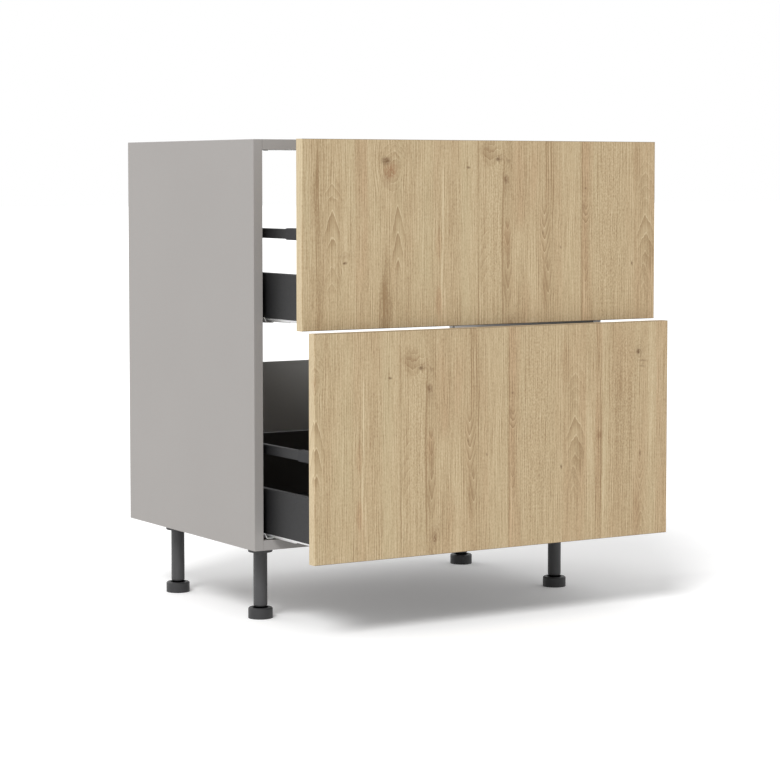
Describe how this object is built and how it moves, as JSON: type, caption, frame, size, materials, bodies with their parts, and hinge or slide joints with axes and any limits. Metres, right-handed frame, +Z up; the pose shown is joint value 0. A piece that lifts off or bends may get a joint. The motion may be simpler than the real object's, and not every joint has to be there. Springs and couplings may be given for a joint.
{
  "type": "base cabinet with drawers",
  "caption": "Kitchen base cabinet on levelling legs, with deep drawers on full-extension runners, plain oak-look fronts and an open top and upper back.",
  "frame": {"origin": "on the floor under the middle of the box round the whole cabinet, with the drawers as far out as in the picture", "axes": "+Z up, +X to the right as seen from the front, +Y to the back, so the fronts face -Y"},
  "size_m": [0.8, 0.754, 0.9103],
  "materials": {
    "carcass_board": "melamine, matt",
    "oak_front": "oak decor, open grain, matt",
    "drawer_board": "melamine, matt",
    "drawer_steel": "powder coat, fine",
    "sleeve_plastic": "satin",
    "galvanised": "zinc plated",
    "leg_plastic": "moulded",
    "fastener_steel": "zinc plated",
    "cam_zinc": "die cast",
    "dowel_wood": "beech",
    "roller_nylon": "nylon"
  },
  "bodies": {
    "carcass": {"bottom_panel": "carcass_board", "top_rail_front": "carcass_board", "side_panel_left": "carcass_board", "side_panel_right": "carcass_board", "back_panel_low": "carcass_board", "panel_dowels": "dowel_wood", "cam_fittings": "cam_zinc", "cam_bolts": "fastener_steel", "leg_screws": "fastener_steel", "runner_screws": "fastener_steel", "leg_socket_front_left": "leg_plastic", "leg_socket_front_right": "leg_plastic", "leg_socket_rear_left": "leg_plastic", "leg_socket_rear_right": "leg_plastic", "leg_tube_front_left": "leg_plastic", "leg_tube_front_right": "leg_plastic", "leg_tube_rear_left": "leg_plastic", "leg_tube_rear_right": "leg_plastic", "upper_cabinet_runner_left": "galvanised", "upper_cabinet_runner_right": "galvanised", "lower_cabinet_runner_left": "galvanised", "lower_cabinet_runner_right": "galvanised"},
    "upper_drawer": {"upper_front": "oak_front", "upper_drawer_side_left": "drawer_steel", "upper_drawer_side_right": "drawer_steel", "upper_drawer_bottom": "drawer_board", "upper_drawer_back": "drawer_board", "upper_gallery_rail_left": "drawer_steel", "upper_gallery_rail_right": "drawer_steel", "upper_gallery_sleeves": "sleeve_plastic", "upper_rear_brackets": "drawer_steel", "upper_front_brackets": "galvanised", "upper_front_screws": "fastener_steel", "upper_drawer_runner_left": "galvanised", "upper_drawer_runner_right": "galvanised"},
    "upper_middle_left": {"upper_middle_runner_left": "galvanised", "upper_rollers_left": "roller_nylon"},
    "upper_middle_right": {"upper_middle_runner_right": "galvanised", "upper_rollers_right": "roller_nylon"},
    "lower_drawer": {"lower_front": "oak_front", "lower_drawer_side_left": "drawer_steel", "lower_drawer_side_right": "drawer_steel", "lower_drawer_bottom": "drawer_board", "lower_drawer_back": "drawer_board", "lower_gallery_rail_left": "drawer_steel", "lower_gallery_rail_right": "drawer_steel", "lower_gallery_sleeves": "sleeve_plastic", "lower_rear_brackets": "drawer_steel", "lower_front_brackets": "galvanised", "lower_front_screws": "fastener_steel", "lower_drawer_runner_left": "galvanised", "lower_drawer_runner_right": "galvanised"},
    "lower_middle_left": {"lower_middle_runner_left": "galvanised", "lower_rollers_left": "roller_nylon"},
    "lower_middle_right": {"lower_middle_runner_right": "galvanised", "lower_rollers_right": "roller_nylon"},
    "foot_front_left": {"foot_front_left": "leg_plastic"},
    "foot_front_right": {"foot_front_right": "leg_plastic"},
    "foot_rear_left": {"foot_rear_left": "leg_plastic"},
    "foot_rear_right": {"foot_rear_right": "leg_plastic"}
  },
  "joints": [
    {"name": "upper_drawer_slide", "type": "slide", "parent": "carcass", "child": "upper_drawer", "axis": [0, -1, 0], "range_m": [-0.156, 0.324]},
    {"name": "upper_middle_slide_left", "type": "slide", "parent": "carcass", "child": "upper_middle_left", "axis": [0, -1, 0], "range_m": [-0.078, 0.162]},
    {"name": "upper_middle_slide_right", "type": "slide", "parent": "carcass", "child": "upper_middle_right", "axis": [0, -1, 0], "range_m": [-0.078, 0.162]},
    {"name": "lower_drawer_slide", "type": "slide", "parent": "carcass", "child": "lower_drawer", "axis": [0, -1, 0], "range_m": [-0.2, 0.28]},
    {"name": "lower_middle_slide_left", "type": "slide", "parent": "carcass", "child": "lower_middle_left", "axis": [0, -1, 0], "range_m": [-0.1, 0.14]},
    {"name": "lower_middle_slide_right", "type": "slide", "parent": "carcass", "child": "lower_middle_right", "axis": [0, -1, 0], "range_m": [-0.1, 0.14]},
    {"name": "foot_adjust_front_left", "type": "slide", "parent": "carcass", "child": "foot_front_left", "axis": [0, 0, -1], "range_m": [-0.0025, 0.025]},
    {"name": "foot_adjust_front_right", "type": "slide", "parent": "carcass", "child": "foot_front_right", "axis": [0, 0, -1], "range_m": [-0.0025, 0.025]},
    {"name": "foot_adjust_rear_left", "type": "slide", "parent": "carcass", "child": "foot_rear_left", "axis": [0, 0, -1], "range_m": [-0.0025, 0.025]},
    {"name": "foot_adjust_rear_right", "type": "slide", "parent": "carcass", "child": "foot_rear_right", "axis": [0, 0, -1], "range_m": [-0.0025, 0.025]}
  ],
  "couplings": [
    {"joint": "upper_middle_slide_left", "follows": "upper_drawer_slide", "ratio": 0.5},
    {"joint": "upper_middle_slide_right", "follows": "upper_drawer_slide", "ratio": 0.5},
    {"joint": "lower_middle_slide_left", "follows": "lower_drawer_slide", "ratio": 0.5},
    {"joint": "lower_middle_slide_right", "follows": "lower_drawer_slide", "ratio": 0.5}
  ]
}
